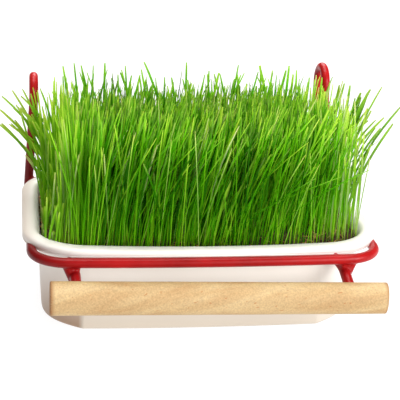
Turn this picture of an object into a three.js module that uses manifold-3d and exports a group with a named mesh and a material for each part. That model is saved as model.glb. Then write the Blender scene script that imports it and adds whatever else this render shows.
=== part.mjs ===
// A plastic tray of growing cat grass, held by its lip in a dip-coated wire
// holder with two rail hooks at the back and a wooden perch in front.
// Millimetres, +Z up. The origin is the centre of the tray's flat base, X runs
// along the tray and -Y is the perch side.

import * as THREE from 'three';
import { mergeVertices } from 'three/addons/utils/BufferGeometryUtils.js';
import Module from 'manifold-3d';

const wasm = await Module();
wasm.setup();

const gap = 0.3; // clearance kept between pieces that touch

// Tray: a rounded-rectangle tub with a rolled lip and a narrower base
const trayHeight = 48.0;
const trayWall = 1.4;
const trayFloor = 1.6;
const lipDrop = 3.3; // from the lip's crown to its lower edge
const lipUnderside = trayHeight - lipDrop + 1.2; // where the wall meets the lip from below
const lipRim = { halfLength: 86.7, halfWidth: 62.3, cornerX: 31.8, cornerY: 31.8, bow: 3.0, cut: 0 };
const wallTop = { halfLength: 79.4, halfWidth: 57.6, cornerX: 24.5, cornerY: 24.5, bow: 2.6, cut: 0 };
const wallFoot = { halfLength: 77.2, halfWidth: 45.3, cornerX: 19.2, cornerY: 31.0, bow: 1.4, cut: 1 };
const footEdge = 0.8; // small rounding where the walls meet the base
const cornerSteps = 8;

// Soil
const soilLevel = 41.4; // height of the soil at the walls
const soilInset = 0.5; // clearance between the soil and the tapered walls
const soilCrown = 1.6; // how much higher it stands in the middle

// Wire holder
const wireRadius = 2.25; // with its coating
const wireSides = 8;
const ringHalfLength = 82.4;
const ringHalfWidth = 64.6;
const ringCorner = 17;
const ringBow = 1.5;
const ringSteps = 112;
const ringHeight = trayHeight - lipDrop - wireRadius - gap;
const lap = 2 * wireRadius + gap; // from one wire's axis to the axis of a wire welded beside it

// Hooks: one leans inwards more, and one stands higher
const hooks = [
  { name: 'left', side: -1, lean: 3.2, top: 101.1 },
  { name: 'right', side: 1, lean: 2.0, top: 108.1 },
];
const hookTurn = THREE.MathUtils.degToRad(34); // where round the ring's corner a hook is welded
const hookSpan = 17.8; // between the axes of a hook's two legs
const hookDrop = 34; // from a hook's top to its open end
const hookFoot = 1; // how far its welded leg reaches below the ring
const bendSteps = 12;
const hookSteps = 36;

// Arms that carry the perch
const armX = 63.3;
const armTop = 1.95; // from the ring's axis up to the arm's welded end
const armDrop = 5.2; // from the ring's axis down to where the arm turns forward
const armBend = 5;
const armSteps = 16;

// Perch: a dowel whose right end hangs a little lower
const perchLength = 156;
const perchRadius = 7.5;
const perchTaper = 0.03; // the left end is thicker and the right end thinner by this part
const perchCentre = new THREE.Vector3(3.2, -80, 29.9);
const perchTilt = THREE.MathUtils.degToRad(1.06);
const perchEdge = 0.8;
const perchSides = 28;
const socketDepth = 8; // blind hole that takes the end of each arm
const socketSides = 16;

// Grass: a grid of tufts, each a root crown with its own blades
const tuftColumns = 8;
const tuftRows = 5;
const rootHalfX = 74;
const rootHalfY = 51;
const crownRadius = 3.6;
const crownDepth = 7;
const crownRise = 1.2;
const crownSides = 7;
const bladesPerTuft = 7;
const bladeHeight = [44, 66];
const bladeBackDrop = 0.1; // front blades are longer and back ones shorter by up to this part
const bladeWidth = 1.7;
const bladeThickness = 0.7;
const splayX = 0.4; // outward lean of the blades at splayHeight, along and across the tray
const splayY = 0.1;
const splayHeight = 60;
const cornerDrawX = 0.11; // how far the grid is drawn in at the tray's round corners
const cornerDrawY = 0.13;

// A repeatable random number between low and high
let randomState = 20117;
function random(low, high) {
  randomState = (randomState * 16807) % 2147483647;
  return low + (high - low) * (randomState / 2147483647);
}

// Between two sets of outline dimensions
function blend(from, to, t) {
  const out = {};
  for (const key of Object.keys(from)) {
    out[key] = THREE.MathUtils.lerp(from[key], to[key], t);
  }
  return out;
}

// The same outline moved inwards
function inset(size, by) {
  return {
    ...size,
    halfLength: size.halfLength - by,
    halfWidth: size.halfWidth - by,
    cornerX: Math.max(size.cornerX - by, 2),
    cornerY: Math.max(size.cornerY - by, 2),
  };
}

// A closed outline at one height: long sides that bow outwards and corners that
// turn from a round arc (cut 0) to a flatter cut with a crease (cut 1)
function outline(size, z) {
  const { halfLength, halfWidth, cornerX, cornerY, bow, cut } = size;
  const straight = halfLength - cornerX;
  const corner = new THREE.CubicBezierCurve(
    new THREE.Vector2(0, 1),
    new THREE.Vector2(0.55, 1 - 0.23 * cut),
    new THREE.Vector2(1, 0.55),
    new THREE.Vector2(1, 0),
  );
  const quarter = [];
  for (const t of [0, 0.25, 0.5, 0.75]) {
    quarter.push(new THREE.Vector2(straight * t, halfWidth + bow * (1 - t * t)));
  }
  for (const p of corner.getPoints(cornerSteps)) {
    quarter.push(new THREE.Vector2(straight + cornerX * p.x, halfWidth - cornerY + cornerY * p.y));
  }
  quarter.push(new THREE.Vector2(halfLength, 0));
  const half = quarter.concat(quarter.slice(0, -1).reverse().map((p) => new THREE.Vector2(p.x, -p.y)));
  const whole = half.concat(half.slice(1, -1).reverse().map((p) => new THREE.Vector2(-p.x, p.y)));
  return whole.reverse().map((p) => new THREE.Vector3(p.x, p.y, z));
}

// A closed skin over a stack of rings, each anticlockwise seen from outside the
// first one. A ring of one point closes an end.
function loft(rings) {
  const points = [];
  const index = [];
  const starts = [];
  for (const ring of rings) {
    starts.push(points.length / 3);
    ring.forEach((p) => points.push(p.x, p.y, p.z));
  }
  for (let i = 0; i + 1 < rings.length; i += 1) {
    const lower = rings[i].length;
    const upper = rings[i + 1].length;
    const count = Math.max(lower, upper);
    for (let k = 0; k < count; k += 1) {
      const a = starts[i] + (k % lower);
      const b = starts[i] + ((k + 1) % lower);
      const c = starts[i + 1] + ((k + 1) % upper);
      const d = starts[i + 1] + (k % upper);
      if (lower > 1) {
        index.push(a, b, upper > 1 ? c : d);
      }
      if (upper > 1) {
        index.push(a, c, d);
      }
    }
  }
  const geometry = new THREE.BufferGeometry();
  geometry.setAttribute('position', new THREE.Float32BufferAttribute(points, 3));
  geometry.setIndex(index);
  return geometry;
}

function toSolid(geometry) {
  const bare = geometry.clone();
  bare.deleteAttribute('normal');
  bare.deleteAttribute('uv');
  const merged = mergeVertices(bare, 1e-4);
  return new wasm.Manifold(new wasm.Mesh({
    numProp: 3,
    vertProperties: new Float32Array(merged.attributes.position.array),
    triVerts: new Uint32Array(merged.index.array),
  }));
}

function toGeometry(solid) {
  const mesh = solid.getMesh();
  const geometry = new THREE.BufferGeometry();
  geometry.setAttribute('position', new THREE.BufferAttribute(mesh.vertProperties, 3));
  geometry.setIndex(new THREE.BufferAttribute(mesh.triVerts, 1));
  return geometry;
}

function point(z) {
  return [new THREE.Vector3(0, 0, z)];
}

// The tray in one skin: base, outer wall, underside of the lip, lip, inner wall, floor
function trayGeometry() {
  const wall = (t, by = 0) => outline(inset(blend(wallFoot, wallTop, t), by), lipUnderside * t);
  const lip = (by, drop) => outline(inset(lipRim, by), trayHeight - drop);
  const floorT = trayFloor / lipUnderside;
  return loft([
    point(0),
    outline(inset(wallFoot, footEdge), 0),
    outline(blend(wallFoot, wallTop, footEdge / lipUnderside), footEdge),
    wall(0.35),
    wall(0.7),
    wall(1),
    lip(1.0, lipDrop - 1.2),
    lip(0.9, lipDrop),
    lip(0.1, lipDrop),
    lip(0, 1.9),
    lip(0.5, 0.9),
    lip(1.6, 0.3),
    lip(3.4, 0),
    lip(5.6, 0.05),
    lip(6.6, 0.5),
    outline(inset(wallTop, trayWall), trayHeight - lipDrop),
    wall(0.75, trayWall),
    wall(0.5, trayWall),
    wall(0.25, trayWall),
    outline(inset(blend(wallFoot, wallTop, floorT), trayWall), trayFloor),
    point(trayFloor),
  ]);
}

// The soil fills the tray to just below the lip, with a socket for each crown
function soilGeometry(crowns) {
  const bottom = trayFloor + gap;
  const side = (z) => outline(inset(blend(wallFoot, wallTop, z / lipUnderside), trayWall + soilInset), z);
  const mound = (by, lift) => outline(inset(blend(wallFoot, wallTop, 0.9), by), soilLevel + lift);
  const body = toSolid(loft([
    point(bottom),
    side(bottom),
    side(lipUnderside * 0.25),
    side(lipUnderside * 0.5),
    side(soilLevel - 0.6),
    mound(trayWall + soilInset + 1, 0),
    mound(14, soilCrown * 0.7),
    mound(30, soilCrown),
    point(soilLevel + soilCrown),
  ]));
  return toGeometry(crowns.reduce((soil, crown) => soil.subtract(crownSolid(crown, gap)), body));
}

// Where a place on the tuft grid (u and v from -1 to 1) is at a height: the grid
// is drawn in at the tray's round corners and fans outwards with height
function growthPlace(u, v, z) {
  const t = Math.max(z - soilLevel, 0) / splayHeight;
  const fan = t ** 1.5;
  const x = rootHalfX * u * (1 - cornerDrawX * v ** 4) * (1 + splayX * fan);
  const y = rootHalfY * v * (1 - cornerDrawY * u ** 4) * (1 + splayY * fan);
  return new THREE.Vector3(x, y, z);
}

function crownSolid(place, extra) {
  const height = crownDepth + crownRise + 2 * extra;
  const plug = new THREE.CylinderGeometry(crownRadius + extra, crownRadius + extra, height, crownSides);
  plug.rotateX(Math.PI / 2);
  plug.translate(place.x, place.y, soilLevel + soilCrown - crownDepth - extra + height / 2);
  return toSolid(plug);
}

// One blade: a slim three-sided section that narrows to a point
function bladeGeometry(u0, v0, u1, v1, height) {
  const foot = soilLevel + soilCrown + crownRise - 2;
  const turn = random(0, Math.PI * 2);
  const across = new THREE.Vector3(Math.cos(turn), Math.sin(turn), 0);
  const outward = new THREE.Vector3(-across.y, across.x, 0);
  const rings = [];
  for (const [t, width] of [[0, 0.45], [0.42, 1]]) {
    const centre = growthPlace(u0 + (u1 - u0) * t, v0 + (v1 - v0) * t, foot + height * t);
    const half = bladeWidth * width / 2;
    rings.push([
      centre.clone().addScaledVector(across, -half),
      centre.clone().addScaledVector(across, half),
      centre.clone().addScaledVector(outward, bladeThickness * width),
    ]);
  }
  rings.push([growthPlace(u1, v1, foot + height)]);
  rings.unshift([rings[0][0].clone().add(rings[0][1]).add(rings[0][2]).divideScalar(3)]);
  rings[0][0].z -= 0.4;
  return loft(rings);
}

// A tuft: a root crown and its blades, which stay inside the tuft's own cell
function tuftGeometry(column, row, crown) {
  const cellU = 1 / tuftColumns;
  const cellV = 1 / tuftRows;
  const u = (column + 0.5) * 2 * cellU - 1;
  const v = (row + 0.5) * 2 * cellV - 1;
  let solid = crownSolid(crown, 0);
  for (let i = 0; i < bladesPerTuft; i += 1) {
    const turn = (i + random(0, 0.6)) * 2.4;
    const rootReach = 0.29 * Math.sqrt((i + 0.5) / bladesPerTuft);
    const tipReach = random(0.36, 0.78);
    const blade = bladeGeometry(
      u + cellU * rootReach * Math.cos(turn),
      v + cellV * rootReach * Math.sin(turn),
      u + cellU * tipReach * Math.cos(turn),
      v + cellV * tipReach * Math.sin(turn),
      random(...bladeHeight) * (1 - bladeBackDrop * v),
    );
    solid = solid.add(toSolid(blade));
  }
  return toGeometry(solid);
}

// A round wire along a path, with flat ends
function wireGeometry(path, steps) {
  const section = new THREE.Shape();
  section.absarc(0, 0, wireRadius, 0, Math.PI * 2, false);
  return new THREE.ExtrudeGeometry(section, {
    steps,
    extrudePath: path,
    curveSegments: wireSides / 2,
    bevelEnabled: false,
  });
}

// A path of straight runs with round corners between them
function bentPath(corners, radius) {
  const path = new THREE.CurvePath();
  let from = corners[0];
  for (let i = 1; i + 1 < corners.length; i += 1) {
    const inDir = corners[i].clone().sub(corners[i - 1]).normalize();
    const outDir = corners[i + 1].clone().sub(corners[i]).normalize();
    const setback = radius * Math.tan(inDir.angleTo(outDir) / 2);
    const start = corners[i].clone().addScaledVector(inDir, -setback);
    const end = corners[i].clone().addScaledVector(outDir, setback);
    path.add(new THREE.LineCurve3(from, start));
    path.add(new THREE.QuadraticBezierCurve3(start, corners[i], end));
    from = end;
  }
  path.add(new THREE.LineCurve3(from, corners[corners.length - 1]));
  return path;
}

// The ring that the lip rests on: one closed loop of wire
function ringGeometry() {
  const size = {
    halfLength: ringHalfLength,
    halfWidth: ringHalfWidth,
    cornerX: ringCorner,
    cornerY: ringCorner,
    bow: ringBow,
    cut: 0,
  };
  const loop = new THREE.CatmullRomCurve3(outline(size, ringHeight), true, 'chordal');
  return new THREE.TubeGeometry(loop, ringSteps, wireRadius, wireSides, true);
}

function ringY(x) {
  const t = x / (ringHalfLength - ringCorner);
  return ringHalfWidth + ringBow * Math.max(1 - t * t, 0);
}

// A hook: up from outside the ring's rear corner, over, and down behind
function hookGeometry({ side, lean, top }) {
  const reach = ringCorner + lap;
  const footX = ringHalfLength - ringCorner + reach * Math.cos(hookTurn);
  const legY = ringHalfWidth - ringCorner + reach * Math.sin(hookTurn);
  const topX = footX - lean;
  const bend = hookSpan / 2;
  const bendHeight = top - wireRadius - bend;
  const over = [];
  for (let i = 0; i <= bendSteps; i += 1) {
    const turn = Math.PI * i / bendSteps;
    const y = legY + bend - bend * Math.cos(turn);
    over.push(new THREE.Vector3(side * topX, y, bendHeight + bend * Math.sin(turn)));
  }
  const foot = new THREE.Vector3(side * footX, legY, ringHeight - wireRadius - hookFoot);
  const tip = new THREE.Vector3(side * topX, legY + hookSpan, top - hookDrop);
  const path = new THREE.CurvePath();
  path.add(new THREE.LineCurve3(foot, over[0]));
  path.add(new THREE.CatmullRomCurve3(over));
  path.add(new THREE.LineCurve3(over[bendSteps], tip));
  return wireGeometry(path, hookSteps);
}

function perchAxisHeight(x) {
  return perchCentre.z - (x - perchCentre.x) * Math.tan(perchTilt);
}

// The points of an arm's axis: down behind the ring, forward under it, into the perch
function armCorners(side) {
  const x = side * armX;
  const back = -ringY(x) + lap;
  const turn = new THREE.Vector3(x, back, ringHeight - armDrop);
  const perchAxis = new THREE.Vector3(x, perchCentre.y, perchAxisHeight(x));
  const reach = perchAxis.clone().sub(turn);
  const end = turn.clone().addScaledVector(reach, 1 - (perchRadius - socketDepth + gap) / reach.length());
  return [new THREE.Vector3(x, back, ringHeight + armTop), turn, end];
}

function armGeometry(side) {
  return wireGeometry(bentPath(armCorners(side), armBend), armSteps);
}

// The perch: a turned dowel with eased ends and a blind hole for each arm
function perchGeometry() {
  const half = perchLength / 2;
  const left = perchRadius * (1 + perchTaper);
  const right = perchRadius * (1 - perchTaper);
  const profile = [
    new THREE.Vector2(0, -half),
    new THREE.Vector2(left - perchEdge, -half),
    new THREE.Vector2(left, -half + perchEdge),
    new THREE.Vector2(perchRadius, 0),
    new THREE.Vector2(right, half - perchEdge),
    new THREE.Vector2(right - perchEdge, half),
    new THREE.Vector2(0, half),
  ];
  const dowel = new THREE.LatheGeometry(profile, perchSides);
  dowel.rotateZ(-Math.PI / 2);
  dowel.rotateY(perchTilt);
  dowel.translate(perchCentre.x, perchCentre.y, perchCentre.z);
  let solid = toSolid(dowel);
  for (const side of [-1, 1]) {
    const [, turn, end] = armCorners(side);
    const along = end.clone().sub(turn).normalize();
    const deep = end.clone().addScaledVector(along, gap);
    const mouth = end.clone().addScaledVector(along, -socketDepth - wireRadius);
    const hole = new THREE.CylinderGeometry(
      wireRadius + gap,
      wireRadius + gap,
      deep.distanceTo(mouth),
      socketSides,
    );
    const pose = new THREE.Quaternion().setFromUnitVectors(new THREE.Vector3(0, 1, 0), along);
    hole.applyQuaternion(pose);
    const middle = deep.clone().add(mouth).multiplyScalar(0.5);
    hole.translate(middle.x, middle.y, middle.z);
    solid = solid.subtract(toSolid(hole));
  }
  return toGeometry(solid);
}

const plastic = new THREE.MeshStandardMaterial({ color: 0xf1ece2, roughness: 0.4, metalness: 0 });
const earth = new THREE.MeshStandardMaterial({ color: 0x4a3524, roughness: 0.95, metalness: 0 });
const coating = new THREE.MeshStandardMaterial({ color: 0xb01c20, roughness: 0.35, metalness: 0 });
const wood = new THREE.MeshStandardMaterial({ color: 0xdfb985, roughness: 0.6, metalness: 0 });
const leaf = new THREE.MeshStandardMaterial({ color: 0x5b9a1c, roughness: 0.5, metalness: 0 });

const model = new THREE.Group();

function addPiece(name, geometry, material) {
  const mesh = new THREE.Mesh(geometry, material);
  mesh.name = name;
  model.add(mesh);
}

const crowns = [];
for (let row = 0; row < tuftRows; row += 1) {
  for (let column = 0; column < tuftColumns; column += 1) {
    const u = (column + 0.5) * 2 / tuftColumns - 1;
    const v = (row + 0.5) * 2 / tuftRows - 1;
    crowns.push({ column, row, place: growthPlace(u, v, soilLevel) });
  }
}

addPiece('tray', trayGeometry(), plastic);
addPiece('soil', soilGeometry(crowns.map((crown) => crown.place)), earth);
addPiece('ring_wire', ringGeometry(), coating);
for (const hook of hooks) {
  addPiece(`hook_wire_${hook.name}`, hookGeometry(hook), coating);
}
addPiece('perch_arm_left', armGeometry(-1), coating);
addPiece('perch_arm_right', armGeometry(1), coating);
addPiece('perch', perchGeometry(), wood);
for (const { column, row, place } of crowns) {
  addPiece(`grass_tuft_${row + 1}_${column + 1}`, tuftGeometry(column, row, place), leaf);
}

export default model;
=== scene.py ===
import math
import random
from functools import partial
import bpy
import bmesh
from mathutils import Matrix, Vector, noise


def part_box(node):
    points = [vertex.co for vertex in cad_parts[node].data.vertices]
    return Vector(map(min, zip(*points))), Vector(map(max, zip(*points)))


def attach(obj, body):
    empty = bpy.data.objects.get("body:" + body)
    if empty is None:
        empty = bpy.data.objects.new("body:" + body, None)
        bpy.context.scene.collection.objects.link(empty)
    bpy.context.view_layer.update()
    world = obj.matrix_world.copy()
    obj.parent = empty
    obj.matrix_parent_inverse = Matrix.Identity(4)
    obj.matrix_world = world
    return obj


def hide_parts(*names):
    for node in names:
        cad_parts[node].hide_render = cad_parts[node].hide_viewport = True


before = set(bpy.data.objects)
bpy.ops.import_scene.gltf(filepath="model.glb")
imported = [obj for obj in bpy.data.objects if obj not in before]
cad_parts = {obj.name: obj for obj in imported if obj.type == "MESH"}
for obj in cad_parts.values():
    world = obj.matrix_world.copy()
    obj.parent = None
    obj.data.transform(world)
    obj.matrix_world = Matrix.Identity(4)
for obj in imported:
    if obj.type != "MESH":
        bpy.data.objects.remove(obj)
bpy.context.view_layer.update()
mm = 0.001  # in the dictionaries a plain size is in millimetres, and one times mm is in metres


def toLinear(hexText):
    # sRGB hex to the linear colour that the shaders take
    out = []
    for start in (1, 3, 5):
        c = int(hexText[start:start + 2], 16) / 255
        out.append(c / 12.92 if c <= 0.04045 else ((c + 0.055) / 1.055) ** 2.4)
    return (*out, 1.0)


def addNode(tree, kind, inputs=None, **settings):
    # a node with its settings, and with its inputs as values, sockets or whole nodes
    node = tree.nodes.new(kind)
    place = len(tree.nodes)
    node.location = (220 * (place % 9), -240 * (place // 9))  # nine to a row in the editor
    for name, value in settings.items():
        if name == "stops":  # the places and colours of a colour ramp
            elements = node.color_ramp.elements
            while len(elements) < len(value):
                elements.new(0.5)
            for element, (position, colour) in zip(elements, value):
                element.position = position
                element.color = toLinear(colour)
        else:
            setattr(node, name, value)
    for key, value in inputs.items() if isinstance(inputs, dict) else enumerate(inputs or []):
        if isinstance(value, bpy.types.Node):
            # a whole node stands for the first output that its settings leave switched on
            value = next(socket for socket in value.outputs if socket.enabled)
        if isinstance(value, bpy.types.NodeSocket):
            tree.links.new(value, node.inputs[key])
        else:
            node.inputs[key].default_value = value
    return node


def startMaterial(name):
    # an empty material, and what adds nodes to it
    material = bpy.data.materials.new(name)
    material.use_nodes = True
    material.node_tree.nodes.clear()
    return material, partial(addNode, material.node_tree)


def startGroup(name, sizes):
    # a geometry tree with a named input for each size, what adds nodes to it, and its inputs
    tree = bpy.data.node_groups.new(name, "GeometryNodeTree")
    for way in ("INPUT", "OUTPUT"):
        tree.interface.new_socket(name="Geometry", in_out=way, socket_type="NodeSocketGeometry")
    for size in sizes:
        tree.interface.new_socket(name=size, in_out="INPUT", socket_type="NodeSocketFloat")
    tree.interface.new_socket(name="Seed", in_out="INPUT", socket_type="NodeSocketInt")
    return tree, partial(addNode, tree), addNode(tree, "NodeGroupInput").outputs


def newPiece(name, data):
    # an object in the scene, with its mesh, lamp or camera
    piece = bpy.data.objects.new(name, data)
    bpy.context.scene.collection.objects.link(piece)
    return piece


def finishPiece(piece, nodes):
    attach(piece, "root")
    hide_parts(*nodes)


def applyModifiers(piece):
    # swaps the piece's mesh for the evaluated one and drops its modifiers
    bpy.context.view_layer.update()
    evaluated = piece.evaluated_get(bpy.context.evaluated_depsgraph_get())
    made = bpy.data.meshes.new_from_object(evaluated)
    made.name = piece.name
    piece.modifiers.clear()
    piece.data = made


def runTree(piece, tree, sizes, seed):
    # gives each named input its value, then keeps the mesh that the tree makes
    sockets = {item.name: item.identifier for item in tree.interface.items_tree if item.in_out == "INPUT"}
    modifier = piece.modifiers.new(tree.name, "NODES")
    modifier.node_group = tree
    for name, value in (*sizes.items(), ("Seed", seed)):
        modifier[sockets[name]] = value
    applyModifiers(piece)


def meshFrom(build, name):
    # keeps what was built as a mesh whose faces point outwards
    bmesh.ops.recalc_face_normals(build, faces=build.faces)
    mesh = bpy.data.meshes.new(name)
    build.to_mesh(mesh)
    build.free()
    return mesh


def joinRings(build, lower, upper):
    # four-sided faces between two rings of as many points
    ends = zip(lower, lower[1:] + lower[:1], upper[1:] + upper[:1], upper)
    return [build.faces.new(corners) for corners in ends]


def loftMesh(name, rings):
    # closed smooth skin over a stack of rings; a ring of one point closes an end
    build = bmesh.new()
    rows = [[build.verts.new(p) for p in ring] for ring in rings]
    for lower, upper in zip(rows, rows[1:]):
        count = max(len(lower), len(upper))
        for k in range(count):
            a, b = lower[k % len(lower)], lower[(k + 1) % len(lower)]
            c, d = upper[(k + 1) % len(upper)], upper[k % len(upper)]
            face = build.faces.new(list(dict.fromkeys((a, b, c, d))))
            face.smooth = True
    return meshFrom(build, name)


# camera, floor and light

viewpoint = {
    "yaw": -9.0,  # degrees to the left of straight ahead
    "pitch": 18.42,
    "roll": 2.51,
    "distance": 615.8 * mm,
    "target": Vector((3.8, 0, 50.5)) * mm,
    "lens": 108.0,
    "sensor": 36.0,
    "nearest": 0.02,  # metres, what the camera sees from and to
    "farthest": 20.0,
}


def makeCamera():
    yaw, pitch, roll = (math.radians(viewpoint[k]) for k in ("yaw", "pitch", "roll"))
    back = Vector((math.sin(yaw) * math.cos(pitch), -math.cos(yaw) * math.cos(pitch), math.sin(pitch)))
    level = Vector((0, 0, 1)).cross(back).normalized()
    upright = back.cross(level)
    right = level * math.cos(roll) + upright * math.sin(roll)
    up = upright * math.cos(roll) - level * math.sin(roll)
    data = bpy.data.cameras.new("studioCamera")
    data.lens = viewpoint["lens"]
    data.sensor_width = viewpoint["sensor"]
    data.clip_start = viewpoint["nearest"]
    data.clip_end = viewpoint["farthest"]
    camera = newPiece("studioCamera", data)
    place = viewpoint["target"] + back * viewpoint["distance"]
    camera.matrix_world = Matrix.Translation(place) @ Matrix((right, up, back)).transposed().to_4x4()
    bpy.context.scene.camera = camera


studio = {
    "floorSize": 16.0,
    "rimHeight": 0.45,  # the floor turns up at its far edge and hides the horizon
    "worldStrength": 0.22,
    "worldColour": "#F0E2D4",
    "floorGlow": 0.93,
    "aim": Vector((0, 0, 60)) * mm,  # where every lamp points
    "lamps": [
        # name, place in metres, size, watts, colour
        ("topLamp", (0.0, 0.1, 1.5), 1.2, 28.5, "#FFFFFF"),
        ("sideLamp", (1.2, -1.15, 0.5), 1.0, 20.0, "#F4FBFF"),
        ("frontLamp", (0.75, -1.4, 0.5), 0.9, 16.5, "#FFFFFF"),
        ("backLamp", (0.2, 1.3, 1.2), 1.0, 17.0, "#FFFFFF"),
    ],
}


def makeStudio():
    scene = bpy.context.scene
    scene.view_settings.view_transform = "Standard"
    world = bpy.data.worlds.new("softWhiteRoom")
    scene.world = world
    world.use_nodes = True
    shade = world.node_tree.nodes["Background"]
    shade.inputs["Color"].default_value = toLinear(studio["worldColour"])
    shade.inputs["Strength"].default_value = studio["worldStrength"]
    half = studio["floorSize"] / 2
    corners = [(-half, -half), (half, -half), (half, half), (-half, half)]
    points = [(x, y, z) for z in (-0.1 * mm, studio["rimHeight"]) for x, y in corners]
    faces = [(0, 1, 2, 3)] + [(k, k + 4, (k + 1) % 4 + 4, (k + 1) % 4) for k in range(4)]
    mesh = bpy.data.meshes.new("paleFloor")
    mesh.from_pydata(points, [], faces)
    floor = newPiece("paleFloor", mesh)
    material, add = startMaterial("paleFloorPaint")
    surface = add("ShaderNodeBsdfPrincipled", {
        "Base Color": toLinear("#6A6A6A"), "Roughness": 0.9, "Emission Color": toLinear("#FFFFFF"),
        "Emission Strength": studio["floorGlow"],
    })
    add("ShaderNodeOutputMaterial", {"Surface": surface})
    mesh.materials.append(material)
    for name, place, size, watts, colour in studio["lamps"]:
        lamp = bpy.data.lights.new(name, "AREA")
        lamp.shape = "DISK"
        lamp.size = size
        lamp.energy = watts
        lamp.color = toLinear(colour)[:3]
        stand = newPiece(name, lamp)
        stand.location = place
        aim = studio["aim"] - Vector(place)
        stand.rotation_euler = aim.to_track_quat("-Z", "Y").to_euler()


makeCamera()
makeStudio()
print("camera, floor and light ready")


# tray outlines

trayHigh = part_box("tray")[1]
tray = {
    "height": trayHigh.z / mm,
    "wall": 1.4,
    "floor": 1.6,
    "lipDrop": 3.3,
    "skirt": 1.5,  # how much lower the lip hangs at the corners and sides
    # outlines: bow is how far the long sides swell, and cut 1 makes a corner a flat with a crease
    "lipRim": {
        "halfLength": trayHigh.x / mm, "halfWidth": trayHigh.y / mm - 3.0,
        "cornerX": 31.8, "cornerY": 31.8, "bow": 3.0, "cut": 0,
    },
    "wallTop": {
        "halfLength": 79.4, "halfWidth": 57.6, "cornerX": 24.5, "cornerY": 24.5, "bow": 2.6, "cut": 0,
    },
    "wallFoot": {
        "halfLength": 77.2, "halfWidth": 45.3, "cornerX": 19.2, "cornerY": 31.0, "bow": 1.4, "cut": 1,
    },
    "sideSteps": 7,
    "cornerSteps": 12,
    "creaseReach": 0.015,  # how near the crease its neighbours stand, as a part of the side
    "skirtStart": 20.0,  # from the middle to where the lip's edge begins to hang lower
    "skirtRun": 55.0,
    "toneDrift": 55 * mm,
    "mouldGrain": 1.1 * mm,  # coarser than the real grain, so that it shows
    "scuffSize": 16 * mm,
    # where the painted warm shade starts and where it is full: toward the foot, at the left and on the left
    # lip
    "paintedShadeHeight": (38 * mm, 2 * mm),
    "paintedShadeLeft": (-58 * mm, -60 * mm),
    "paintedShadeBrim": (-79 * mm, -86 * mm),
}
underLip = tray["height"] - tray["lipDrop"] + 1.2  # where the wall meets the lip's underside


def blendShapes(a, b, t):
    return {key: a[key] + (b[key] - a[key]) * t for key in a}


def insetShape(shape, by):
    return {
        **shape,
        "halfLength": shape["halfLength"] - by,
        "halfWidth": shape["halfWidth"] - by,
        "cornerX": max(shape["cornerX"] - by, 2),
        "cornerY": max(shape["cornerY"] - by, 2),
    }


def outlinePoints(shape, height):
    # one closed outline, anticlockwise from above, in metres
    straight = shape["halfLength"] - shape["cornerX"]
    lowCorner = shape["halfWidth"] - shape["cornerY"]
    quarter = []
    near = tray["creaseReach"]
    for t in [k / tray["sideSteps"] for k in range(tray["sideSteps"])] + [1 - near]:
        quarter.append((straight * t, shape["halfWidth"] + shape["bow"] * (1 - t * t)))
    bend = [(0, 1), (0.55, 1 - 0.23 * shape["cut"]), (1, 0.55), (1, 0)]
    for t in [0, near] + [(k + 1) / tray["cornerSteps"] for k in range(tray["cornerSteps"])]:
        weights = [(1 - t) ** 3, 3 * t * (1 - t) ** 2, 3 * t * t * (1 - t), t ** 3]
        x = sum(w * p[0] for w, p in zip(weights, bend))
        y = sum(w * p[1] for w, p in zip(weights, bend))
        quarter.append((straight + shape["cornerX"] * x, lowCorner + shape["cornerY"] * y))
    quarter.append((shape["halfLength"], lowCorner / 2))
    quarter.append((shape["halfLength"], 0))
    half = quarter + [(x, -y) for x, y in reversed(quarter[:-1])]
    whole = half + [(-x, y) for x, y in reversed(half[1:-1])]
    return [Vector((x, y, height)) * mm for x, y in reversed(whole)]


def wallRing(t, by=0.0):
    shape = blendShapes(tray["wallFoot"], tray["wallTop"], t)
    return outlinePoints(insetShape(shape, by), underLip * t)


def lipRing(by, drop):
    return outlinePoints(insetShape(tray["lipRim"], by), tray["height"] - drop)


def skirtRing(by, drop):
    # a ring of the lip's lower edge, clear of the holder in the middle of the front
    points = lipRing(by, drop)
    for point in points:
        along = (abs(point.x) / mm - tray["skirtStart"]) / tray["skirtRun"]
        point.z -= tray["skirt"] * mm * min(max(along, 0), 1)
    return points


# moulded plastic tray

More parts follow.
